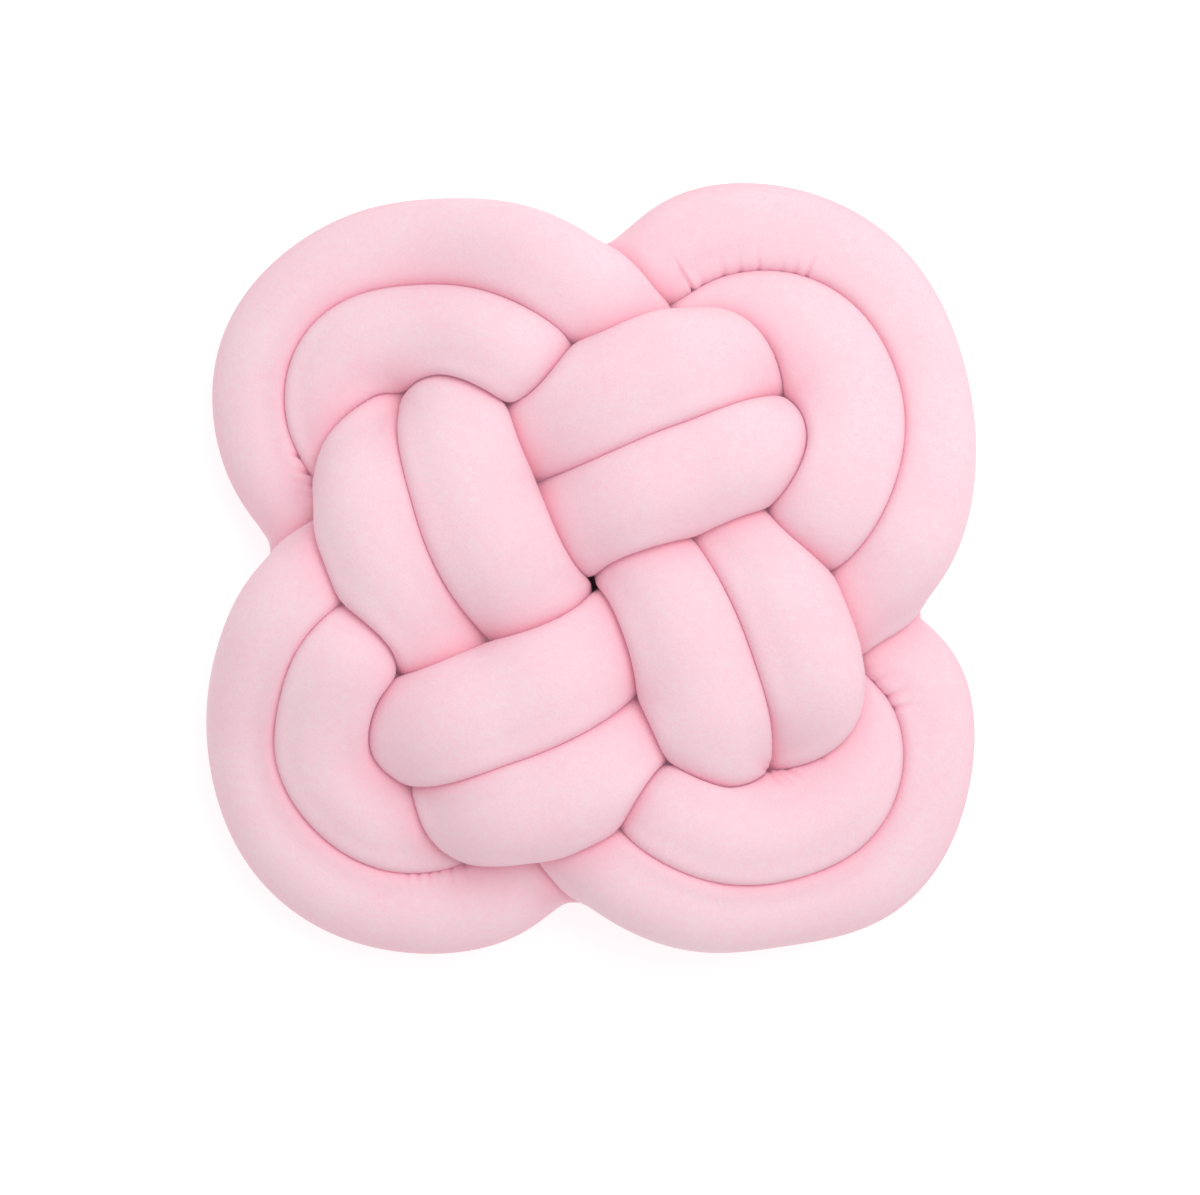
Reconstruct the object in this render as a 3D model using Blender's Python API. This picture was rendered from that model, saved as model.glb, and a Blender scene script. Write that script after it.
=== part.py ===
"""Knot cushion: two stuffed plush tubes, laid side by side and tied into a flat knot of four loops.

The cushion lies on its back. X runs to the right of its face, Y up the face and Z out of it, and the
origin is under its middle, on the surface that it rests on. Both tubes are closed rings that take the
same way: round a corner loop, over, under, over and under the other strands, and on to the next corner.
Where two strands meet they press each other flat, and where they reach the surface they rest flat on it.
"""

from typing import NamedTuple

import bmesh
import bpy
import numpy as np

MM = 0.001

# Driving sizes, in millimetres.
HALF_HEIGHT = 26.0  # of a free strand, from its middle to its top
CONTACT_GAP = 3.4  # left between two strands that press each other
BEND_KEEP = 0.85  # share of a bend's own radius that the inside of the bend may fill
SHOULDER = 14  # how tightly a round side turns into a pressed one
MOST_LEAN = 0.25  # how far a fuller strand may push into a slimmer one, as a share of their distance
OWN_REACH = 70.0  # along one strand, how near a place still counts as the same strand
CONTACT_REACH = 85.0  # no strand farther off than this is felt

# Fineness of the solids, in millimetres.
SIDES = 14
RING_STEP = 13.0
CENTRE_STEP = 4.0
SPLINE_STEPS = 40
SPLINE_TENSION = 0.75

# How far each ring takes after its neighbours, round the strand and along it.
SMOOTHINGS = 2
ROUND_SHARE = 0.12
LENGTH_SHARE = 0.2
NEAR_NOTHING = 1e-6

STRANDS = ("outer", "inner")
PLUSH_PINK = (0.80, 0.50, 0.54, 1.0)
PLUSH_ROUGHNESS = 0.95


class Level(NamedTuple):
    """Heights of the two strands' middles and their half widths at one named place of a quarter."""

    place: str
    inner_height: float
    outer_height: float
    inner_half_width: float
    outer_half_width: float


class Place(NamedTuple):
    """Where the two strands' middles are, seen from above, at one named place of a quarter."""

    place: str
    inner_x: float
    inner_y: float
    outer_x: float
    outer_y: float


class Quarter(NamedTuple):
    """One fourth of the way: a corner loop and the strands that lead from it to the next corner."""

    inner_loop_fullness: float
    inner_fullness: float
    outer_fullness: float
    places: tuple[Place, ...]


LEVELS = (
    Level("loop_foot", 23, 23, 28, 26),
    Level("loop_near", 30, 24, 28.5, 26),
    Level("loop_side", 37, 25, 28.5, 25.5),
    Level("loop_crown", 43, 27, 28.5, 25.5),
    Level("loop_far", 53, 34, 28.5, 25.5),
    Level("over_first", 60, 49, 28, 26),
    Level("over_second", 59, 57, 28, 26),
    Level("dive", 38, 43, 27, 26),
    Level("under_first", 26, 33, 27, 26),
    Level("under_second", 21, 22, 27, 26),
    Level("rise", 37, 36, 28, 27.5),
    Level("face_first", 66, 63, 30.5, 27.5),
    Level("face_second", 69, 69, 32, 27.5),
    Level("face_end", 62, 60, 30, 27.5),
    Level("plunge", 30, 28, 25, 25),
    Level("back_first", 21, 21, 27, 26),
    Level("back_second", 19, 20, 28, 27),
)
LOOP_PLACES = ("loop_near", "loop_side", "loop_crown", "loop_far", "over_first", "over_second")
FACE_PLACES = ("face_first", "face_second", "face_end")

UPPER_LEFT = Quarter(
    0.885,
    0.95,
    1.0,
    (
        Place("loop_foot", -125, 46.5, -144, 22),
        Place("loop_near", -138, 79, -161.5, 49),
        Place("loop_side", -124, 109, -168, 111),
        Place("loop_crown", -95, 116.5, -118, 158),
        Place("loop_far", -69, 115.5, -78, 164.5),
        Place("over_first", -54.5, 112, -42, 160),
        Place("over_second", -36, 104, -12, 145),
        Place("dive", -25, 92.5, 10, 126),
        Place("under_first", -12, 74, 31, 98),
        Place("under_second", 11, 34, 56, 55),
        Place("rise", 26, 8.5, 64.5, 21.5),
        Place("face_first", 43, -23.5, 87.5, -7),
        Place("face_second", 57, -62, 104, -41),
        Place("face_end", 61, -85, 109, -64),
        Place("plunge", 59.5, -107, 97, -89),
        Place("back_first", 31, -109, 73, -133),
        Place("back_second", -16, -119, 27, -147),
    ),
)
LOWER_LEFT = Quarter(
    0.94,
    0.88,
    1.07,
    (
        Place("loop_foot", -63, -128, -26, -152),
        Place("loop_near", -93, -134, -50, -168),
        Place("loop_side", -121, -119, -118, -170),
        Place("loop_crown", -136, -95, -161, -135),
        Place("loop_far", -135, -69, -174, -84),
        Place("over_first", -131, -53, -167.5, -49),
        Place("over_second", -124, -42, -150.5, -17),
        Place("dive", -111, -28, -128, 1),
        Place("under_first", -88, -9, -109, 17),
        Place("under_second", -48, 9, -67, 47),
        Place("rise", -14, 20, -37.5, 68.5),
        Place("face_first", 15, 33, -4, 80),
        Place("face_second", 53, 49, 28, 94),
        Place("face_end", 83, 58, 57, 101),
        Place("plunge", 105, 54, 81, 100),
        Place("back_first", 110, 29, 131, 73),
        Place("back_second", 114, -23, 144, 12),
    ),
)
LOWER_RIGHT = Quarter(
    1.0,
    0.96,
    0.97,
    (
        Place("loop_foot", 125, -65, 152.5, -43.5),
        Place("loop_near", 135, -90, 166, -62),
        Place("loop_side", 125, -117, 166.5, -124),
        Place("loop_crown", 98, -133, 139, -160),
        Place("loop_far", 73, -136, 95, -171),
        Place("over_first", 56, -134, 56, -171.5),
        Place("over_second", 38, -124, 24, -159.5),
        Place("dive", 24, -112, -2, -141),
        Place("under_first", 8, -88, -22, -119),
        Place("under_second", -11, -53, -55, -77),
        Place("rise", -25, -25.5, -76, -47),
        Place("face_first", -45, 2.5, -100, -13),
        Place("face_second", -63.5, 36.5, -112, 20),
        Place("face_end", -68.5, 66.5, -113.5, 42),
        Place("plunge", -62, 95, -109, 70),
        Place("back_first", -31, 102, -74, 128),
        Place("back_second", 14, 106, -24, 130),
    ),
)
UPPER_RIGHT = Quarter(
    0.98,
    0.97,
    1.03,
    (
        Place("loop_foot", 54, 117, 27, 149),
        Place("loop_near", 90, 125.5, 52, 168),
        Place("loop_side", 115, 114.5, 103.5, 170),
        Place("loop_crown", 128.5, 93, 147, 142),
        Place("loop_far", 132.5, 69, 168.5, 93),
        Place("over_first", 130, 50, 170, 50),
        Place("over_second", 119, 29, 159, 15),
        Place("dive", 104, 14, 136, -10),
        Place("under_first", 87, 1, 109, -34),
        Place("under_second", 56, -23, 68, -64),
        Place("rise", 13, -37, 33, -85),
        Place("face_first", -14, -57, 5, -104),
        Place("face_second", -47, -73.5, -28, -119),
        Place("face_end", -79.5, -81.5, -53, -122),
        Place("plunge", -103, -76, -79, -117),
        Place("back_first", -109, -31, -130, -74),
        Place("back_second", -109, 12, -142, -27),
    ),
)
QUARTERS = (UPPER_LEFT, LOWER_LEFT, LOWER_RIGHT, UPPER_RIGHT)


def clear_scene():
    for thing in list(bpy.data.objects):
        bpy.data.objects.remove(thing)


def plush(name):
    material = bpy.data.materials.new(name)
    material.use_nodes = True
    shader = material.node_tree.nodes["Principled BSDF"]
    shader.inputs["Base Color"].default_value = PLUSH_PINK
    shader.inputs["Roughness"].default_value = PLUSH_ROUGHNESS
    shader.inputs["Metallic"].default_value = 0.0
    return material


def strand_points(strand):
    """The places of one strand all the way round, as rows of x, y, height and half width."""
    rows = []
    for quarter in QUARTERS:
        for place, level in zip(quarter.places, LEVELS):
            fullness = 1.0
            if place.place in FACE_PLACES:
                fullness = getattr(quarter, f"{strand}_fullness")
            elif place.place in LOOP_PLACES and strand == "inner":
                fullness = quarter.inner_loop_fullness
            rows.append(
                (
                    getattr(place, f"{strand}_x"),
                    getattr(place, f"{strand}_y"),
                    getattr(level, f"{strand}_height"),
                    getattr(level, f"{strand}_half_width") * fullness,
                )
            )
    return np.array(rows, float)


def closed_spline(points):
    """A smooth closed cubic through the points, as many fine rows with the same columns."""
    after = np.roll(points, -1, axis=0)
    span = np.linalg.norm((after - points)[:, :2], axis=1) ** SPLINE_TENSION
    before = np.roll(span, 1)
    count = len(points)
    here = np.arange(count)
    system = np.zeros((count, count))
    system[here, here] = 2 * (span + before)
    system[here, here - 1] += before
    system[here, (here + 1) % count] += span
    slope = (after - points) / span[:, None]
    bend = np.linalg.solve(system, 6 * (slope - np.roll(slope, 1, axis=0)))
    share = np.linspace(0, 1, SPLINE_STEPS, endpoint=False)[None, :, None]
    rest = 1 - share
    sag = rest * (1 - rest**2) * bend[:, None] + share * (1 - share**2) * np.roll(bend, -1, axis=0)[:, None]
    curve = points[:, None] * rest + after[:, None] * share - span[:, None, None] ** 2 / 6 * sag
    return curve.reshape(-1, points.shape[1])


def evenly_spaced(curve, step):
    """The closed curve again, with rows about one step apart along it."""
    closed = np.vstack([curve, curve[:1]])
    along = np.concatenate([[0], np.cumsum(np.linalg.norm(np.diff(closed[:, :3], axis=0), axis=1))])
    count = round(along[-1] / step)
    stops = np.arange(count) * along[-1] / count
    return np.stack([np.interp(stops, along, column) for column in closed.T], axis=1)


def ring_directions(middles):
    """Unit directions from each middle to the sides of its ring, which is square to the strand."""
    ahead = np.roll(middles, -1, axis=0) - np.roll(middles, 1, axis=0)
    ahead /= np.linalg.norm(ahead, axis=1)[:, None]
    across = np.stack([ahead[:, 1], -ahead[:, 0], np.zeros(len(ahead))], axis=1)
    across /= np.linalg.norm(across, axis=1)[:, None]
    upward = np.cross(across, ahead)
    angle = ring_angles()[None, :, None]
    return np.cos(angle) * across[:, None] + np.sin(angle) * upward[:, None]


def ring_angles():
    return 2 * np.pi * (np.arange(SIDES) + 0.5) / SIDES


def smoothed(values, axis, share):
    return values * (1 - 2 * share) + share * (np.roll(values, 1, axis) + np.roll(values, -1, axis))


def pressed_reach(rings, own, centres):
    """How far each side of each ring can go before it meets a strand, or the inside of its own bend.

    Two strands meet on the plane between their middles, which the fuller one pushes towards the slimmer.
    """
    directions = ring_directions(rings[:, :3])
    length = len(centres[own]) * CENTRE_STEP
    every = np.vstack(centres)
    owner = np.repeat(np.arange(len(centres)), [len(centre) for centre in centres])
    along = np.concatenate([np.arange(len(centre)) * CENTRE_STEP for centre in centres])
    reach = np.empty(directions.shape[:2])
    for index, (ring, sides) in enumerate(zip(rings, directions)):
        toward = every[:, :3] - ring[:3]
        distance = np.linalg.norm(toward, axis=1)
        felt = (distance > 1.0) & (distance < CONTACT_REACH)
        toward, distance, half_width = toward[felt], distance[felt], every[felt, 3]
        apart = np.abs(along[felt] - index * length / len(rings))
        same = (owner[felt] == own) & (np.minimum(apart, length - apart) < OWN_REACH)
        most = MOST_LEAN * distance
        lean = np.clip((ring[3] ** 2 - half_width**2) / (2 * distance), -most, most)
        plane = np.where(same, BEND_KEEP * distance / 2, (distance - CONTACT_GAP) / 2 + lean)
        facing = sides @ toward.T
        limit = plane * distance / np.maximum(facing, NEAR_NOTHING)
        reach[index] = np.where(facing > NEAR_NOTHING, limit, np.inf).min(axis=1)
    return reach


def strand_rings(curve, own, centres):
    """The rings of one strand, round where it is free and flat where it is pressed."""
    rings = evenly_spaced(curve, RING_STEP)
    directions = ring_directions(rings[:, :3])
    angle = ring_angles()
    free = np.hypot(np.cos(angle) / rings[:, 3:], np.sin(angle) / HALF_HEIGHT) ** -1
    reach = pressed_reach(rings, own, centres)
    radius = (free**-SHOULDER + reach**-SHOULDER) ** (-1 / SHOULDER)
    for _ in range(SMOOTHINGS):
        radius = smoothed(smoothed(radius, 1, ROUND_SHARE), 0, LENGTH_SHARE)
        radius = np.minimum(radius, reach)
    surface = rings[:, None, :3] + radius[:, :, None] * directions
    surface[:, :, 2] = np.maximum(surface[:, :, 2], 0)
    return surface


def centred(surfaces):
    """The surfaces moved level, so that the middle of the box round them all is over the origin."""
    every = np.vstack([surface.reshape(-1, 3) for surface in surfaces])
    middle = (every.min(axis=0) + every.max(axis=0)) / 2
    middle[2] = 0
    return [surface - middle for surface in surfaces]


def tube(name, surface, material):
    """One closed tube through the rings, its sides wrapped round and its last ring joined to its first."""
    count = len(surface)
    shape = bmesh.new()
    bmesh.ops.create_grid(shape, x_segments=count, y_segments=SIDES, size=0.5)
    for vertex in shape.verts:
        ring = round((vertex.co.x + 0.5) * count) % count
        side = round((vertex.co.y + 0.5) * SIDES) % SIDES
        vertex.co = surface[ring, side] * MM
    bmesh.ops.remove_doubles(shape, verts=shape.verts, dist=NEAR_NOTHING)
    bmesh.ops.recalc_face_normals(shape, faces=shape.faces)
    mesh = bpy.data.meshes.new(name)
    shape.to_mesh(mesh)
    shape.free()
    mesh.shade_smooth()
    mesh.materials.append(material)
    bpy.context.collection.objects.link(bpy.data.objects.new(name, mesh))


def main():
    clear_scene()
    curves = [closed_spline(strand_points(strand)) for strand in STRANDS]
    centres = [evenly_spaced(curve, CENTRE_STEP) for curve in curves]
    surfaces = [strand_rings(curve, own, centres) for own, curve in enumerate(curves)]
    for strand, surface in zip(STRANDS, centred(surfaces)):
        tube(f"{strand}_tube", surface, plush(f"plush_{strand}"))


main()
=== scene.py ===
"""Looks of the knot cushion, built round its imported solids.

The cushion is two stuffed plush tubes, laid side by side and tied into a flat knot of four corner
loops. Both tubes are made again here along the routes of their solids, finer, with the flats
where strands press each other, the gathers on the inside of the bends, and a short pink nap.
Routes are in millimetres, with X to the right of the cushion's face, Y up the face and Z out of
it. Meshes, lights and camera are in metres.
"""

import logging
from dataclasses import dataclass
from enum import Enum
from typing import Any, NamedTuple

import bmesh
import bpy
import numpy as np
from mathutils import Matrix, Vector


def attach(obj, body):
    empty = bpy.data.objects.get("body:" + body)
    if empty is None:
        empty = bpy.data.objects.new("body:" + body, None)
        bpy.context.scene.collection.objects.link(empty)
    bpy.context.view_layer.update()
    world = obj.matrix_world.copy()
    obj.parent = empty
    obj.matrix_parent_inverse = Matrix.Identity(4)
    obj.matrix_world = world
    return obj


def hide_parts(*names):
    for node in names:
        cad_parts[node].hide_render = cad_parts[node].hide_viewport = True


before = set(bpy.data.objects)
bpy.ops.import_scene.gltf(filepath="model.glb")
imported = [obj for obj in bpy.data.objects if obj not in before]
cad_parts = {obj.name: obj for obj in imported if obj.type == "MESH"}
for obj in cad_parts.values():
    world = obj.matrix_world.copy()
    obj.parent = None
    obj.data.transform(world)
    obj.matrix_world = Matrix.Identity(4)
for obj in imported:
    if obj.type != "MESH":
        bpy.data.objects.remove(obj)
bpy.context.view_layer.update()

MM = 0.001
NEAR_NOTHING = 1e-6
CONTACT_COLUMN = 3
PAINTED_SHADE_COLUMN = 4
ALONG = 0
ROUND = 1
Array = np.ndarray
Colour = tuple[float, float, float]
BLACK = (0.0, 0.0, 0.0)
WHITE = (1.0, 1.0, 1.0)
log = logging.getLogger("knot_cushion")


class Strand(Enum):
    """The two tubes that run side by side through the knot."""

    OUTER = "outer"
    INNER = "inner"


class Level(NamedTuple):
    """Heights and half widths of the two strands at one named place of a quarter."""

    place: str
    inner_height: float
    outer_height: float
    inner_half_width: float
    outer_half_width: float


class Place(NamedTuple):
    """Where the two strands' middles are, seen from above, at one named place of a quarter."""

    place: str
    inner_x: float
    inner_y: float
    outer_x: float
    outer_y: float


class Quarter(NamedTuple):
    """One fourth of the way: a corner loop and the strands that lead on from it."""

    inner_loop_fullness: float
    inner_fullness: float
    outer_fullness: float
    places: tuple[Place, ...]


class Pucker(NamedTuple):
    """One crease of the cloth, from its deep end to where it fades out, seen from above.

    The height picks the strand that it lies on, and the painted shade is how much deeper pink
    shade is painted along the crease. A wide one without depth is only a pocket of painted shade.
    """

    deep_x: float
    deep_y: float
    faint_x: float
    faint_y: float
    height: float
    half_width: float
    depth: float
    painted_shade: float


LEVELS = (
    Level("loop_foot", 23, 23, 28, 26),
    Level("loop_near", 30, 24, 28.5, 26),
    Level("loop_side", 37, 25, 28.5, 25.5),
    Level("loop_crown", 43, 27, 28.5, 25.5),
    Level("loop_far", 53, 34, 28.5, 25.5),
    Level("over_first", 60, 49, 28, 26),
    Level("over_second", 59, 57, 28, 26),
    Level("dive", 38, 43, 27, 26),
    Level("under_first", 26, 33, 27, 26),
    Level("under_second", 21, 22, 27, 26),
    Level("rise", 37, 36, 28, 27.5),
    Level("face_first", 66, 63, 30.5, 27.5),
    Level("face_second", 69, 69, 32, 27.5),
    Level("face_end", 62, 60, 30, 27.5),
    Level("plunge", 30, 28, 25, 25),
    Level("back_first", 21, 21, 27, 26),
    Level("back_second", 19, 20, 28, 27),
)
LOOP_PLACES = ("loop_near", "loop_side", "loop_crown", "loop_far", "over_first", "over_second")
FACE_PLACES = ("face_first", "face_second", "face_end")

UPPER_LEFT = Quarter(
    inner_loop_fullness=0.885,
    inner_fullness=0.95,
    outer_fullness=1.0,
    places=(
        Place("loop_foot", -125, 46.5, -144, 22),
        Place("loop_near", -138, 79, -161.5, 49),
        Place("loop_side", -124, 109, -168, 111),
        Place("loop_crown", -95, 116.5, -118, 158),
        Place("loop_far", -69, 115.5, -78, 164.5),
        Place("over_first", -54.5, 112, -42, 160),
        Place("over_second", -36, 104, -12, 145),
        Place("dive", -25, 92.5, 10, 126),
        Place("under_first", -12, 74, 31, 98),
        Place("under_second", 11, 34, 56, 55),
        Place("rise", 26, 8.5, 64.5, 21.5),
        Place("face_first", 43, -23.5, 87.5, -7),
        Place("face_second", 57, -62, 104, -41),
        Place("face_end", 61, -85, 109, -64),
        Place("plunge", 59.5, -107, 97, -89),
        Place("back_first", 31, -109, 73, -133),
        Place("back_second", -16, -119, 27, -147),
    ),
)
LOWER_LEFT = Quarter(
    inner_loop_fullness=0.94,
    inner_fullness=0.88,
    outer_fullness=1.07,
    places=(
        Place("loop_foot", -63, -128, -26, -152),
        Place("loop_near", -93, -134, -50, -168),
        Place("loop_side", -121, -119, -118, -170),
        Place("loop_crown", -136, -95, -161, -135),
        Place("loop_far", -135, -69, -174, -84),
        Place("over_first", -131, -53, -167.5, -49),
        Place("over_second", -124, -42, -150.5, -17),
        Place("dive", -111, -28, -128, 1),
        Place("under_first", -88, -9, -109, 17),
        Place("under_second", -48, 9, -67, 47),
        Place("rise", -14, 20, -37.5, 68.5),
        Place("face_first", 15, 33, -4, 80),
        Place("face_second", 53, 49, 28, 94),
        Place("face_end", 83, 58, 57, 101),
        Place("plunge", 105, 54, 81, 100),
        Place("back_first", 110, 29, 131, 73),
        Place("back_second", 114, -23, 140.5, 11),
    ),
)
LOWER_RIGHT = Quarter(
    inner_loop_fullness=1.0,
    inner_fullness=0.96,
    outer_fullness=0.97,
    places=(
        Place("loop_foot", 125, -65, 149.5, -42.5),
        Place("loop_near", 135, -90, 165.5, -59),
        Place("loop_side", 125, -117, 166.5, -124),
        Place("loop_crown", 98, -133, 139, -160),
        Place("loop_far", 73, -136, 95, -171),
        Place("over_first", 56, -134, 56, -171.5),
        Place("over_second", 38, -124, 24, -159.5),
        Place("dive", 24, -112, -2, -141),
        Place("under_first", 8, -88, -22, -119),
        Place("under_second", -11, -53, -55, -77),
        Place("rise", -25, -25.5, -76, -47),
        Place("face_first", -45, 2.5, -100, -13),
        Place("face_second", -63.5, 36.5, -112, 20),
        Place("face_end", -68.5, 66.5, -113.5, 42),
        Place("plunge", -62, 95, -109, 70),
        Place("back_first", -31, 102, -74, 128),
        Place("back_second", 14, 106, -24, 130),
    ),
)
UPPER_RIGHT = Quarter(
    inner_loop_fullness=0.98,
    inner_fullness=0.97,
    outer_fullness=1.03,
    places=(
        Place("loop_foot", 54, 117, 27, 149),
        Place("loop_near", 90, 125.5, 52, 168),
        Place("loop_side", 115, 114.5, 103.5, 170),
        Place("loop_crown", 128.5, 93, 147, 142),
        Place("loop_far", 132.5, 69, 168.5, 93),
        Place("over_first", 130, 50, 170, 50),
        Place("over_second", 119, 29, 159, 12),
        Place("dive", 104, 14, 137.5, -13.5),
        Place("under_first", 87, 1, 109, -34),
        Place("under_second", 56, -23, 68, -64),
        Place("rise", 13, -37, 33, -85),
        Place("face_first", -14, -57, 5, -104),
        Place("face_second", -47, -73.5, -28, -119),
        Place("face_end", -79.5, -81.5, -53, -122),
        Place("plunge", -103, -76, -79, -117),
        Place("back_first", -109, -31, -130, -74),
        Place("back_second", -109, 12, -142, -27),
    ),
)
QUARTERS = (UPPER_LEFT, LOWER_LEFT, LOWER_RIGHT, UPPER_RIGHT)

# Columns: deep_x, deep_y, faint_x, faint_y, height, half_width, depth, painted_shade.
OUTER_PUCKERS = (
    Pucker(51.6, 141.9, 38.0, 163.5, 38, 1.0, 2.0, 1.0),
    Pucker(56.0, 147.0, 52.5, 156.0, 38, 1.8, 0.5, 0.12),
    Pucker(67.4, 149.8, 65.9, 159.5, 37, 1.7, 0.7, 0.35),
    Pucker(76.0, 151.9, 74.5, 161.0, 37, 1.6, 0.7, 0.3),
    Pucker(85.3, 152.4, 83.7, 166.0, 37, 1.4, 0.8, 0.35),
    Pucker(97.1, 152.9, 96.6, 159.0, 37, 1.6, 0.4, 0.12),
    Pucker(103.9, 151.9, 105.1, 162.0, 37, 1.5, 0.7, 0.25),
    Pucker(110.0, 149.3, 113.7, 163.0, 37, 1.3, 1.2, 0.5),
    Pucker(154.3, -65.6, 164.0, -61.5, 36, 1.5, 1.0, 0.55),
    Pucker(157.6, -72.2, 167.5, -69.5, 36, 1.6, 1.0, 0.45),
    Pucker(149.0, -57.5, 156.0, -54.5, 36, 1.6, 0.7, 0.3),
    Pucker(-149.0, 56.0, -157.0, 59.5, 38, 1.2, 1.4, 1.0),
    Pucker(-146.5, 48.5, -156.0, 51.8, 38, 1.2, 1.8, 1.0),
    Pucker(-146.0, 42.5, -155.5, 45.3, 38, 1.2, 1.5, 1.0),
    Pucker(-146.5, 37.0, -154.5, 39.0, 38, 1.3, 1.2, 0.8),
    Pucker(-95.0, -160.0, -94.5, -167.5, 34, 1.3, 0.7, 0.3),
    Pucker(-89.4, -160.5, -89.0, -166.5, 34, 1.3, 0.7, 0.3),
    Pucker(-83.9, -160.5, -83.7, -168.0, 34, 1.3, 0.7, 0.3),
    Pucker(-79.1, -160.0, -79.0, -165.5, 34, 1.2, 0.6, 0.25),
    Pucker(-72.5, -158.5, -72.0, -166.0, 34, 1.4, 0.7, 0.3),
    Pucker(-65.0, -156.0, -64.0, -162.5, 34, 1.3, 0.6, 0.25),
    Pucker(36.0, 135.0, 45.0, 156.0, 36, 6.5, 0.0, 0.6),
    Pucker(-54.0, -150.0, -50.0, -166.0, 34, 11.0, 0.0, 0.6),
    Pucker(-24.0, -162.0, -36.0, -168.0, 30, 9.0, 0.0, 0.55),
)
INNER_PUCKERS = (
    Pucker(93.5, -107.5, 100.5, -113.8, 58, 1.3, 1.1, 0.9),
    Pucker(97.0, -106.3, 104.0, -112.0, 58, 1.4, 0.9, 0.8),
    Pucker(101.2, -104.6, 109.0, -108.8, 58, 1.4, 0.9, 0.8),
    Pucker(116.0, -96.5, 119.5, -100.5, 58, 1.3, 0.9, 0.6),
)


@dataclass(frozen=True)
class KnotRoute:
    """The closed ways of the two strands through the knot."""

    tension: float = 0.75
    spline_steps: int = 40

    def places(self, strand: Strand) -> Array:
        """Collects the places of one strand all the way round.

        Args:
            strand: the strand to follow.

        Returns:
            Rows of x, y, height and half width, in millimetres.
        """
        rows = []
        for quarter in QUARTERS:
            for place, level in zip(quarter.places, LEVELS):
                full = 1.0
                if place.place in FACE_PLACES:
                    full = getattr(quarter, f"{strand.value}_fullness")
                elif place.place in LOOP_PLACES and strand is Strand.INNER:
                    full = quarter.inner_loop_fullness
                rows.append(
                    (
                        getattr(place, f"{strand.value}_x"),
                        getattr(place, f"{strand.value}_y"),
                        getattr(level, f"{strand.value}_height"),
                        getattr(level, f"{strand.value}_half_width") * full,
                    )
                )
        return np.array(rows, float)

    def curve(self, strand: Strand) -> Array:
        """Draws a smooth closed cubic through the places of one strand.

        Args:
            strand: the strand to follow.

        Returns:
            Many fine rows with the same columns as the places.
        """
        points = self.places(strand)
        after = np.roll(points, -1, axis=0)
        span = np.linalg.norm((after - points)[:, :2], axis=1) ** self.tension
        before = np.roll(span, 1)
        count = len(points)
        here = np.arange(count)
        system = np.zeros((count, count))
        system[here, here] = 2 * (span + before)
        system[here, here - 1] += before
        system[here, (here + 1) % count] += span
        slope = (after - points) / span[:, None]
        bend = np.linalg.solve(system, 6 * (slope - np.roll(slope, 1, axis=0)))
        share = np.linspace(0, 1, self.spline_steps, endpoint=False)[None, :, None]
        rest = 1 - share
        sag = rest * (1 - rest**2) * bend[:, None]
        sag = sag + share * (1 - share**2) * np.roll(bend, -1, axis=0)[:, None]
        straight = points[:, None] * rest + after[:, None] * share
        curve = straight - span[:, None, None] ** 2 / 6 * sag
        return curve.reshape(-1, points.shape[1])


def evenly_spaced(curve: Array, step: float) -> Array:
    """Resamples a closed curve.

    Args:
        curve: rows whose first three columns are a position.
        step: the wanted distance between rows.

    Returns:
        Rows about one step apart along the curve.
    """
    closed = np.vstack([curve, curve[:1]])
    spans = np.linalg.norm(np.diff(closed[:, :3], axis=0), axis=1)
    along = np.concatenate([[0], np.cumsum(spans)])
    count = round(along[-1] / step)
    stops = np.arange(count) * along[-1] / count
    return np.stack([np.interp(stops, along, column) for column in closed.T], axis=1)


def smoothed(values: Array, axis: int, share: float, passes: int) -> Array:
    """Lets each value of a closed grid take after its neighbours.

    Args:
        values: the grid.
        axis: the direction of the neighbours.
        share: how much each neighbour counts in one pass.
        passes: how often this is done.

    Returns:
        The smoothed grid.
    """
    for _ in range(passes):
        beside = np.roll(values, 1, axis) + np.roll(values, -1, axis)
        values = values * (1 - 2 * share) + share * beside
    return values


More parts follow.
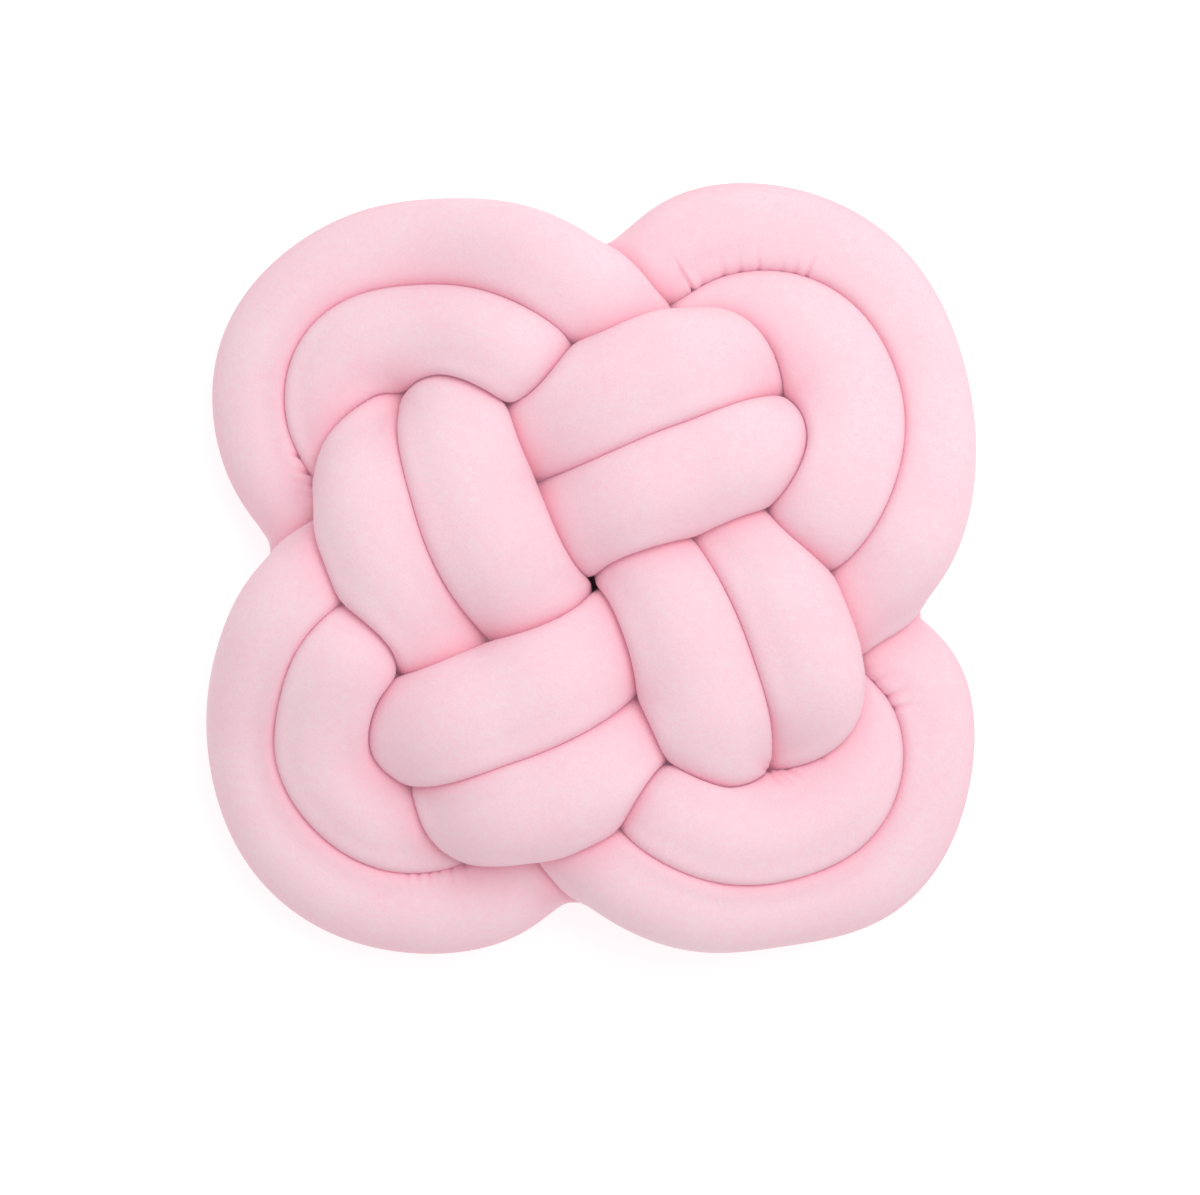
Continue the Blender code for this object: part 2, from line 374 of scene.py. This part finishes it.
@dataclass(frozen=True)
class PressedStrand:
    """A strand's section: round where it is free, flat where it meets a strand or the ground.

    Attributes:
        half_height: half the free section's height.
        squareness: the free section's power, where 2 is an ellipse.
        contact_gap: what is left between two strands that touch.
        bend_keep: how far a strand may reach towards the inside of its own bend.
        shoulder: how sharply a flat turns into the round.
        most_fill: how much the cloth bulges beside a contact.
        fill_reach: how fast that bulge fades with the distance, as a share of the radius.
        contact_fade: how far from a contact its painted glow fades, in millimetres.
        crease_shade_fade: the same for the painted shade of a crease, as a share of the radius.
        crease_shade_strength: how strong that painted shade is.
        shelter_height: how far a strand stands above the next one to give it full painted shade.
        shelter_shade_fade: how far a sheltered side's painted shade fades, as a share of radius.
        most_lean: how far a fuller strand may push the plane, as a share of the distance.
        own_reach: the length of strand that counts as the same bend.
        contact_reach: the distance from which strands are felt.
        centre_step: the distance between the middles that are felt.
        sides: the points round a section.
        ring_step: the distance between sections.
        own_middle: nearer than this, a middle is the section's own.
        soften_share: how much each neighbour counts when the radius is softened.
        soften_rounds: how often the radius is softened and held back again.
        round_passes: the passes of one softening round the section.
        length_passes: the passes of one softening along the strand.
    """

    half_height: float = 26.0
    squareness: float = 2.15
    contact_gap: float = 0.06
    bend_keep: float = 0.85
    shoulder: float = 40.0
    most_fill: float = 0.3
    fill_reach: float = 0.25
    contact_fade: float = 0.6
    crease_shade_fade: float = 0.2
    crease_shade_strength: float = 0.4
    shelter_height: float = 16.0
    shelter_shade_fade: float = 0.7
    most_lean: float = 0.25
    own_reach: float = 70.0
    contact_reach: float = 85.0
    centre_step: float = 4.0
    sides: int = 80
    ring_step: float = 2.5
    own_middle: float = 1.0
    soften_share: float = 0.25
    soften_rounds: int = 2
    round_passes: int = 3
    length_passes: int = 5

    def angles(self) -> Array:
        """Returns the angle of each side round the section."""
        return 2 * np.pi * (np.arange(self.sides) + 0.5) / self.sides

    def directions(self, middles: Array) -> Array:
        """Finds where the sides of each ring lie, with the ring square to the strand.

        Args:
            middles: the middles of the rings.

        Returns:
            A unit direction for every side of every ring.
        """
        ahead = np.roll(middles, -1, axis=0) - np.roll(middles, 1, axis=0)
        ahead /= np.linalg.norm(ahead, axis=1)[:, None]
        across = np.stack([ahead[:, 1], -ahead[:, 0], np.zeros(len(ahead))], axis=1)
        across /= np.linalg.norm(across, axis=1)[:, None]
        upward = np.cross(across, ahead)
        angle = self.angles()[None, :, None]
        return np.cos(angle) * across[:, None] + np.sin(angle) * upward[:, None]

    def reach(
        self, rings: Array, directions: Array, own: int, centres: list[Array]
    ) -> tuple[Array, Array, Array]:
        """Finds how far each side can go before it meets a strand, or the inside of its own bend.

        Two strands meet on the plane between their middles, and the fuller one pushes that plane
        towards the slimmer.

        Args:
            rings: rows of x, y, height and half width.
            directions: the unit direction of every side of every ring.
            own: which of the centres is this strand's own.
            centres: evenly spaced rows of every strand.

        Returns:
            The greatest radius of every side of every ring, the same without the limit of its own
            bend, and from nought to one how far the strand that it meets there stands above it.
        """
        length = len(centres[own]) * self.centre_step
        every = np.vstack(centres)
        owner = np.repeat(np.arange(len(centres)), [len(centre) for centre in centres])
        along = np.concatenate([np.arange(len(centre)) * self.centre_step for centre in centres])
        reach = np.empty(directions.shape[:2])
        meeting = np.empty(directions.shape[:2])
        shelter = np.empty(directions.shape[:2])
        for index, (ring, sides) in enumerate(zip(rings, directions)):
            toward = every[:, :3] - ring[:3]
            distance = np.linalg.norm(toward, axis=1)
            felt = (distance > self.own_middle) & (distance < self.contact_reach)
            toward, distance, half_width = toward[felt], distance[felt], every[felt, 3]
            apart = np.abs(along[felt] - index * length / len(rings))
            same = (owner[felt] == own) & (np.minimum(apart, length - apart) < self.own_reach)
            most = self.most_lean * distance
            lean = np.clip((ring[3] ** 2 - half_width**2) / (2 * distance), -most, most)
            bend = self.bend_keep * distance / 2
            plane = np.where(same, bend, (distance - self.contact_gap) / 2 + lean)
            facing = sides @ toward.T
            limit = plane * distance / np.maximum(facing, NEAR_NOTHING)
            limit = np.where(facing > NEAR_NOTHING, limit, np.inf)
            reach[index] = limit.min(axis=1)
            meeting[index] = np.where(same, np.inf, limit).min(axis=1)
            shelter[index] = toward[limit.argmin(axis=1), 2]
        return reach, meeting, np.clip(shelter / self.shelter_height, 0, 1)

    def pressed(self, free: Array, reach: Array) -> Array:
        """Returns the free radius, held back where the strand is pressed."""
        return (free**-self.shoulder + reach**-self.shoulder) ** (-1 / self.shoulder)

    def filled(self, free: Array, reach: Array, meeting: Array) -> Array:
        """Fills the corners beside a contact, where the cloth is pushed out between the strands.

        Args:
            free: the radius of every side of every ring where nothing presses.
            reach: the greatest radius of every side of every ring.
            meeting: the same, counting only other strands.

        Returns:
            The radius of every side of every ring.
        """
        near = np.exp(-np.maximum(meeting / free - 1, 0) / self.fill_reach)
        return self.pressed(free * (1 + self.most_fill * near), reach)

    def softened(self, radius: Array) -> Array:
        """Returns the radius smoothed both round and along the strand."""
        rounded = smoothed(radius, ROUND, self.soften_share, self.round_passes)
        return smoothed(rounded, ALONG, self.soften_share, self.length_passes)

    def surface(self, curve: Array, own: int, centres: list[Array]) -> Array:
        """Wraps one strand in its cloth.

        Args:
            curve: the strand's way.
            own: which of the centres is this strand's own.
            centres: evenly spaced rows of every strand.

        Returns:
            Every point of every ring: x, y, z, how closely it touches, which sets the painted
                glow,
            and how much painted shade it takes from a near contact and from shelter.
        """
        rings = evenly_spaced(curve, self.ring_step)
        directions = self.directions(rings[:, :3])
        angle = self.angles()
        wide = np.abs(np.cos(angle) / rings[:, 3:]) ** self.squareness
        tall = np.abs(np.sin(angle) / self.half_height) ** self.squareness
        free = (wide + tall) ** (-1 / self.squareness)
        reach, meeting, shelter = self.reach(rings, directions, own, centres)
        radius = self.filled(free, reach, meeting)
        for _ in range(self.soften_rounds):
            soft = self.softened(radius)
            radius = np.minimum(soft + self.softened(radius - soft), reach)
        points = rings[:, None, :3] + radius[:, :, None] * directions
        points[:, :, 2] = np.maximum(points[:, :, 2], 0)
        # The contact mark sets where the painted glow shows.
        contact = np.exp((radius - reach) / self.contact_fade)
        # Painted shade: pinker near a contact and on a side that a higher strand shelters.
        apart = reach / radius - 1
        painted_shade_weight = self.crease_shade_strength * np.exp(-apart / self.crease_shade_fade)
        painted_shade_weight += self.softened(shelter) * np.exp(-apart / self.shelter_shade_fade)
        return np.dstack([points, contact, np.clip(painted_shade_weight, 0, 1)])


def grid_normals(surface: Array) -> Array:
    """Finds the outward direction at each point of a closed tube.

    Args:
        surface: the points of every ring.

    Returns:
        A unit direction for each point.
    """
    along = np.roll(surface, -1, axis=0) - np.roll(surface, 1, axis=0)
    around = np.roll(surface, -1, axis=1) - np.roll(surface, 1, axis=1)
    normal = np.cross(around, along)
    normal /= np.maximum(np.linalg.norm(normal, axis=2, keepdims=True), NEAR_NOTHING)
    outward = surface - surface.mean(axis=1, keepdims=True)
    return normal * np.sign((normal * outward).sum(axis=2).mean())


@dataclass(frozen=True)
class Gathers:
    """The creases where the cloth is gathered, and finer rings near them to show them.

    Attributes:
        puckers: the creases.
        far_step: the distance between rings away from the creases.
        near_step: the same at a crease.
        near_reach: how far from a crease the rings are finest.
        height_reach: how far above or below a crease its strand may be.
        back_reach: how many of its lengths behind its deep end a crease has faded out.
        shoulder_share: how much the cloth puffs up beside a trough.
        shoulder_width: how much wider the puff is than the trough.
    """

    puckers: tuple[Pucker, ...]
    far_step: float = 3.5
    near_step: float = 0.75
    near_reach: float = 9.0
    height_reach: float = 17.0
    back_reach: float = 1.8
    shoulder_share: float = 0.3
    shoulder_width: float = 2.3

    def stops(self, surface: Array) -> Array:
        """Spreads rings along the tube, closer together near each pucker.

        Args:
            surface: evenly spaced rings.

        Returns:
            Places along the tube, counted in rings.
        """
        points = surface[:, :, :3]
        spans = np.linalg.norm(np.roll(points, -1, axis=0) - points, axis=2).mean(axis=1)
        nearest = np.full(len(surface), np.inf)
        for pucker in self.puckers:
            middle = np.array(
                [
                    (pucker.deep_x + pucker.faint_x) / 2,
                    (pucker.deep_y + pucker.faint_y) / 2,
                    pucker.height,
                ]
            )
            nearest = np.minimum(nearest, np.linalg.norm(points - middle, axis=2).min(axis=1))
        share = np.clip((nearest - self.near_reach) / self.near_reach, 0, 1)
        step = self.near_step + (self.far_step - self.near_step) * share
        counted = np.concatenate([[0], np.cumsum(spans / step)])
        total = round(counted[-1])
        wanted = np.arange(total) * counted[-1] / total
        return np.interp(wanted, counted, np.arange(len(counted)))

    def refined(self, surface: Array) -> Array:
        """Lays the rings where the stops say, on a smooth curve through the even ones.

        Args:
            surface: evenly spaced rings.

        Returns:
            The surface with the new rings.
        """
        stops = self.stops(surface)
        first = np.floor(stops).astype(int) % len(surface)
        t = (stops - np.floor(stops))[:, None, None]
        a, b, c, d = (surface[(first + shift) % len(surface)] for shift in (-1, 0, 1, 2))
        slope = (c - a) / 2
        next_slope = (d - b) / 2
        bend = 3 * (c - b) - 2 * slope - next_slope
        return b + t * (slope + t * (bend + t * (2 * (b - c) + slope + next_slope)))

    def gathered(self, surface: Array) -> Array:
        """Presses each pucker in as a soft trough with puffed sides and painted shade along it.

        Args:
            surface: the rings.

        Returns:
            The surface with its puckers, and their painted shade added to the painted shade
            weight.
        """
        normal = grid_normals(surface[:, :, :3])
        sunk = np.zeros(surface.shape[:2])
        painted_shade = np.zeros(surface.shape[:2])
        for pucker in self.puckers:
            deep = np.array([pucker.deep_x, pucker.deep_y])
            run = np.array([pucker.faint_x, pucker.faint_y]) - deep
            length = np.linalg.norm(run)
            offset = surface[:, :, :2] - deep
            share = offset @ run / length**2
            aside = np.abs(offset[:, :, 0] * run[1] - offset[:, :, 1] * run[0]) / length
            fade = 1 - np.clip(share, 0, 1)
            fade = fade * fade * (3 - 2 * fade) * np.clip(self.back_reach + share, 0, 1)
            near = np.abs(surface[:, :, 2] - pucker.height) < self.height_reach
            trough = np.exp(-((aside / pucker.half_width) ** 2))
            puff = np.exp(-((aside / (self.shoulder_width * pucker.half_width)) ** 2))
            profile = (1 + self.shoulder_share) * trough - self.shoulder_share * puff
            sunk += near * fade * pucker.depth * profile
            # Painted shade: deeper pink along each trough.
            painted_shade += near * fade * pucker.painted_shade * trough
        creased = surface.copy()
        creased[:, :, :3] -= sunk[:, :, None] * normal
        creased[:, :, 2] = np.maximum(creased[:, :, 2], 0)
        creased[:, :, PAINTED_SHADE_COLUMN] = np.minimum(creased[:, :, PAINTED_SHADE_COLUMN] + painted_shade, 1)
        return creased


@dataclass(frozen=True)
class Shade:
    """A shader socket that takes part in arithmetic: each operator adds a Math node."""

    graph: "Graph"
    socket: bpy.types.NodeSocket

    def _math(self, operation: str, first: "Shade | float", second: "Shade | float") -> "Shade":
        """Adds one Math node and returns its result."""
        node = self.graph.node("ShaderNodeMath", {"operation": operation}, {0: first, 1: second})
        return Shade(self.graph, node.outputs[0])

    def __add__(self, other: "Shade | float") -> "Shade":
        """Returns the sum."""
        return self._math("ADD", self, other)

    def __radd__(self, other: "Shade | float") -> "Shade":
        """Returns the sum, from the right."""
        return self._math("ADD", other, self)

    def __sub__(self, other: "Shade | float") -> "Shade":
        """Returns the difference."""
        return self._math("SUBTRACT", self, other)

    def __rsub__(self, other: "Shade | float") -> "Shade":
        """Returns the difference, from the right."""
        return self._math("SUBTRACT", other, self)

    def __mul__(self, other: "Shade | float") -> "Shade":
        """Returns the product."""
        return self._math("MULTIPLY", self, other)

    def __rmul__(self, other: "Shade | float") -> "Shade":
        """Returns the product, from the right."""
        return self._math("MULTIPLY", other, self)

    def at_least(self, other: "Shade | float") -> "Shade":
        """Returns the greater value."""
        return self._math("MAXIMUM", self, other)

    def clamped(self, low: float, high: float) -> "Shade":
        """Returns the value held between two limits."""
        return self._math("MINIMUM", self.at_least(low), high)


class Graph:
    """The node tree of one material."""

    def __init__(self, tree: bpy.types.NodeTree) -> None:
        """Starts from an empty tree.

        Args:
            tree: the material's node tree.
        """
        self.tree = tree
        self.tree.nodes.clear()

    def node(
        self, kind: str, settings: dict[str, Any], inputs: dict[str | int, Any]
    ) -> bpy.types.Node:
        """Adds a node.

        Args:
            kind: the node's type.
            settings: its own settings, set first.
            inputs: the value or link of each socket, by name or number.

        Returns:
            The new node.
        """
        made = self.tree.nodes.new(kind)
        for name, value in settings.items():
            setattr(made, name, value)
        for name, value in inputs.items():
            if isinstance(value, Shade):
                self.tree.links.new(value.socket, made.inputs[name])
            else:
                made.inputs[name].default_value = value
        return made

    def value(
        self, kind: str, settings: dict[str, Any], inputs: dict[str | int, Any], output: str
    ) -> Shade:
        """Adds a node and returns one of its outputs.

        Args:
            kind: the node's type.
            settings: its own settings, set first.
            inputs: the value or link of each socket, by name or number.
            output: the name of the output.

        Returns:
            The output as a Shade.
        """
        return Shade(self, self.node(kind, settings, inputs).outputs[output])

    def noise(self, size: float, detail: float, roughness: float) -> Shade:
        """Makes an even random pattern over the object.

        Args:
            size: about how wide its patches are, in metres.
            detail: how many finer patterns it holds.
            roughness: how strong the finer patterns are.

        Returns:
            The pattern, around one half.
        """
        place = self.value("ShaderNodeTexCoord", {}, {}, "Object")
        inputs = {"Vector": place, "Scale": 1 / size, "Detail": detail, "Roughness": roughness}
        return self.value("ShaderNodeTexNoise", {}, inputs, "Fac")

    def height(self) -> Shade:
        """Returns how high a point is in the object, in metres."""
        place = self.value("ShaderNodeTexCoord", {}, {}, "Object")
        return self.value("ShaderNodeSeparateXYZ", {}, {"Vector": place}, "Z")

    def mix(self, share: Shade, first: "Colour | Shade", second: "Colour | Shade") -> Shade:
        """Blends two colours.

        Args:
            share: how much of the second colour shows.
            first: the colour at nought.
            second: the colour at one.

        Returns:
            The blended colour.
        """
        ends = [end if isinstance(end, Shade) else (*end, 1.0) for end in (first, second)]
        inputs = {"Factor": share, 6: ends[0], 7: ends[1]}
        node = self.node("ShaderNodeMix", {"data_type": "RGBA"}, inputs)
        return Shade(self, node.outputs[2])


@dataclass(frozen=True)
class PlushFinish:
    """Short plush with a fine nap, patches where it is brushed, and a pale sheen.

    Sizes are in metres. The deep and pale colours alternate with the nap, tufts and patches. The
    crease colour is painted shade where strands meet and towards the bottom rim, and the crease
    glow is painted light that stands in for the light that passes through the nap there.
    """

    deep: Colour = (0.945, 0.585, 0.67)
    pale: Colour = (0.915, 0.69, 0.76)
    nap_size: float = 0.0011
    tuft_size: float = 0.004
    patch_size: float = 0.035
    pale_share: float = 0.55
    nap_tone: float = 1.5
    tuft_tone: float = 0.8
    patch_tone: float = 0.9
    nap_relief: float = 0.7
    tuft_relief: float = 0.5
    nap_height: float = 0.0005
    bump_strength: float = 0.5
    roughness: float = 0.9
    roughness_change: float = 0.1
    specular: float = 0.25
    sheen: float = 0.12
    sheen_roughness: float = 0.45
    sheen_tint: Colour = (1.0, 0.93, 0.95)
    # Painted shade: the deeper pink put in creases, on sheltered sides and towards the bottom
    # rim.
    crease: Colour = (0.92, 0.43, 0.52)
    crease_shade_share: float = 0.55
    # Painted light: a faint glow where strands touch.
    painted_crease_glow: Colour = (0.07, 0.06, 0.075)
    # Painted shade towards the bottom rim: its top height, its fade depth and its strength.
    low_shade_top: float = 0.044
    low_shade_depth: float = 0.02
    low_shade_share: float = 0.5

    def material(self, name: str) -> bpy.types.Material:
        """Makes the material.

        Args:
            name: its name.

        Returns:
            The material.
        """
        material = bpy.data.materials.new(name)
        material.use_nodes = True
        graph = Graph(material.node_tree)
        nap = graph.noise(self.nap_size, detail=2.0, roughness=0.6)
        tuft = graph.noise(self.tuft_size, detail=2.0, roughness=0.5)
        patch = graph.noise(self.patch_size, detail=3.0, roughness=0.5)
        tone = (nap - 0.5) * self.nap_tone + (tuft - 0.5) * self.tuft_tone
        share = self.pale_share + tone + (patch - 0.5) * self.patch_tone
        contact = graph.value("ShaderNodeAttribute", {"attribute_name": "contact"}, {}, "Fac")
        painted_shade_weight = graph.value("ShaderNodeAttribute", {"attribute_name": "painted_shade_weight"}, {}, "Fac")
        brushed = graph.mix(share.clamped(0.0, 1.0), self.deep, self.pale)
        # Painted shade, darker towards the bottom rim.
        low = ((self.low_shade_top - graph.height()) * (1 / self.low_shade_depth)).clamped(0.0, 1.0)
        # Painted shade in creases, puckers and sheltered sides, and towards the bottom rim.
        pressed = (painted_shade_weight * self.crease_shade_share).at_least(low * self.low_shade_share)
        colour = graph.mix(pressed, brushed, self.crease)
        bump_inputs = {
            "Strength": self.bump_strength,
            "Distance": self.nap_height,
            "Height": nap * self.nap_relief + tuft * self.tuft_relief,
        }
        bump = graph.value("ShaderNodeBump", {}, bump_inputs, "Normal")
        shader_inputs = {
            "Base Color": colour,
            "Roughness": self.roughness + (tuft - 0.5) * self.roughness_change,
            "Metallic": 0.0,
            "Specular IOR Level": self.specular,
            # Painted light: the crease glow where strands touch.
            "Emission Color": graph.mix(contact, BLACK, self.painted_crease_glow),
            "Emission Strength": 1.0,
            "Sheen Weight": self.sheen,
            "Sheen Roughness": self.sheen_roughness,
            "Sheen Tint": (*self.sheen_tint, 1.0),
            "Normal": bump,
        }
        shader = graph.value("ShaderNodeBsdfPrincipled", {}, shader_inputs, "BSDF")
        graph.node("ShaderNodeOutputMaterial", {}, {"Surface": shader})
        return material


@dataclass(frozen=True)
class FloorFinish:
    """A matt, almost white floor that glows faintly, but not under the cushion: painted shade."""

    colour: Colour = (0.55, 0.55, 0.55)
    dim_share: float = 0.985
    cloud_size: float = 0.5
    glow: float = 0.6
    shade_radius: float = 0.09
    shade_edge: float = 0.07
    roughness: float = 0.9
    specular: float = 0.2

    def material(self, name: str) -> bpy.types.Material:
        """Makes the material.

        Args:
            name: its name.

        Returns:
            The material.
        """
        material = bpy.data.materials.new(name)
        material.use_nodes = True
        graph = Graph(material.node_tree)
        cloud = graph.noise(self.cloud_size, detail=2.0, roughness=0.5)
        dimmer = tuple(self.dim_share * part for part in self.colour)
        place = graph.value("ShaderNodeTexCoord", {}, {}, "Object")
        far = graph.value("ShaderNodeVectorMath", {"operation": "LENGTH"}, {0: place}, "Value")
        clear = ((far - self.shade_radius) * (1 / self.shade_edge)).clamped(0.0, 1.0)
        inputs = {
            "Base Color": graph.mix(cloud, dimmer, self.colour),
            "Roughness": self.roughness,
            "Specular IOR Level": self.specular,
            # Painted shade: the glow fades out under the cushion and close round it.
            "Emission Color": graph.mix(clear, BLACK, WHITE),
            "Emission Strength": self.glow,
        }
        shader = graph.value("ShaderNodeBsdfPrincipled", {}, inputs, "BSDF")
        graph.node("ShaderNodeOutputMaterial", {}, {"Surface": shader})
        return material


@dataclass(frozen=True)
class PlushTube:
    """One of the two stuffed tubes: its cloth and its finish."""

    strand: Strand
    gathers: Gathers
    finish: PlushFinish
    fill: float = 0.85

    def build(self, surface: Array) -> bpy.types.Object:
        """Makes the tube's mesh, its sides wrapped round and its last ring joined to its first.

        Args:
            surface: every point of every ring, as PressedStrand.surface gives them.

        Returns:
            The tube's object.
        """
        count, sides = surface.shape[:2]
        name = f"{self.strand.value}_plush"
        shape = bmesh.new()
        shape.loops.layers.uv.new("Cloth")
        contact = shape.verts.layers.float.new("contact")
        painted_shade_weight = shape.verts.layers.float.new("painted_shade_weight")
        half = 0.5
        bmesh.ops.create_grid(
            shape, x_segments=count, y_segments=sides, size=half, calc_uvs=True
        )
        for vertex in shape.verts:
            ring = round((vertex.co.x + half) * count) % count
            side = round((vertex.co.y + half) * sides) % sides
            vertex.co = surface[ring, side, :3] * MM
            vertex[contact] = surface[ring, side, CONTACT_COLUMN]
            vertex[painted_shade_weight] = surface[ring, side, PAINTED_SHADE_COLUMN]
        bmesh.ops.remove_doubles(shape, verts=shape.verts, dist=NEAR_NOTHING)
        bmesh.ops.recalc_face_normals(shape, faces=shape.faces)
        mesh = bpy.data.meshes.new(name)
        shape.to_mesh(mesh)
        shape.free()
        mesh.shade_smooth()
        mesh.materials.append(self.finish.material(f"{self.strand.value}_short_plush"))
        piece = bpy.data.objects.new(name, mesh)
        bpy.context.collection.objects.link(piece)
        return piece

    def dress(self, piece: bpy.types.Object) -> None:
        """Puts the tube in place of its solid.

        Args:
            piece: the tube's object.
        """
        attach(piece, "root")
        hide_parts(f"{self.strand.value}_tube")
        log.info("%s: %d faces", piece.name, len(piece.data.polygons))


@dataclass(frozen=True)
class KnotCushion:
    """The two tubes, pressed against each other in the knot."""

    route: KnotRoute
    section: PressedStrand
    tubes: tuple[PlushTube, ...]

    def surfaces(self) -> list[Array]:
        """Wraps both strands, and moves them level to the middle of their common box.

        Returns:
            The surface of each tube, in millimetres.
        """
        curves = [self.route.curve(tube.strand) for tube in self.tubes]
        centres = [evenly_spaced(curve, self.section.centre_step) for curve in curves]
        made = []
        for own, (tube, curve) in enumerate(zip(self.tubes, curves)):
            surface = self.section.surface(curve, own, centres)
            made.append(tube.gathers.gathered(tube.gathers.refined(surface)))
        every = np.vstack([surface.reshape(-1, surface.shape[2]) for surface in made])
        middle = (every.min(axis=0) + every.max(axis=0)) / 2
        middle[2:] = 0
        log.info("middle of the tables' box: %s", middle[:2].round(2))
        return [surface - middle for surface in made]

    def build(self) -> None:
        """Builds and dresses both tubes."""
        for tube, surface in zip(self.tubes, self.surfaces()):
            tube.dress(tube.build(surface))


@dataclass(frozen=True)
class Studio:
    """Plain pale floor, soft light from the upper right, and a camera over the cushion's face.

    Sizes are in metres, but for the camera's sensor in millimetres. The photo's whole width spans
    view_width at view_plane from the camera, and frame_shift is from the cushion's middle to the
    photo's middle.
    """

    floor_size: float = 6.0
    floor_drop: float = 0.0004
    sky: float = 0.70
    key_size: float = 1.3
    key_energy: float = 12.8
    key_place: tuple[float, float, float] = (0.55, 0.62, 1.5)
    camera_height: float = 1.825
    view_width: float = 0.6234
    view_plane: float = 1.8
    sensor: float = 36.0
    camera_place: tuple[float, float] = (-0.0008, 0.0002)
    frame_shift: tuple[float, float] = (0.005195, -0.015325)

    def floor(self) -> None:
        """Lays the floor."""
        shape = bmesh.new()
        bmesh.ops.create_grid(shape, x_segments=1, y_segments=1, size=self.floor_size / 2)
        bmesh.ops.translate(shape, verts=shape.verts, vec=(0, 0, -self.floor_drop))
        mesh = bpy.data.meshes.new("floor")
        shape.to_mesh(mesh)
        shape.free()
        mesh.materials.append(FloorFinish().material("pale_floor"))
        floor = bpy.data.objects.new("floor", mesh)
        bpy.context.collection.objects.link(floor)

    def light(self) -> None:
        """Sets the even light from all round and the broad light from the upper right."""
        world = bpy.data.worlds.new("studio")
        bpy.context.scene.world = world
        world.use_nodes = True
        background = world.node_tree.nodes["Background"]
        background.inputs["Color"].default_value = (*WHITE, 1.0)
        background.inputs["Strength"].default_value = self.sky
        data = bpy.data.lights.new("broad_light", "AREA")
        data.size = self.key_size
        data.energy = self.key_energy
        light = bpy.data.objects.new("broad_light", data)
        light.location = self.key_place
        light.rotation_euler = (-Vector(self.key_place)).to_track_quat("-Z", "Y").to_euler()
        bpy.context.collection.objects.link(light)

    def camera(self) -> None:
        """Hangs the camera straight over the cushion's face."""
        data = bpy.data.cameras.new("camera")
        data.sensor_width = self.sensor
        data.lens = self.sensor * self.view_plane / self.view_width
        data.shift_x = self.frame_shift[0] / self.view_width
        data.shift_y = self.frame_shift[1] / self.view_width
        camera = bpy.data.objects.new("camera", data)
        camera.location = (*self.camera_place, self.camera_height)
        bpy.context.collection.objects.link(camera)
        bpy.context.scene.camera = camera

    def build(self) -> None:
        """Sets up the whole studio."""
        self.floor()
        self.light()
        self.camera()
        bpy.context.scene.view_settings.view_transform = "Standard"


def main() -> None:
    """Builds the cushion and the studio round it."""
    logging.basicConfig(level=logging.INFO, format="%(message)s")
    plush = PlushFinish()
    tubes = (
        PlushTube(Strand.OUTER, Gathers(OUTER_PUCKERS), plush),
        PlushTube(Strand.INNER, Gathers(INNER_PUCKERS), plush),
    )
    KnotCushion(KnotRoute(), PressedStrand(), tubes).build()
    Studio().build()


if __name__ == "__main__":
    main()
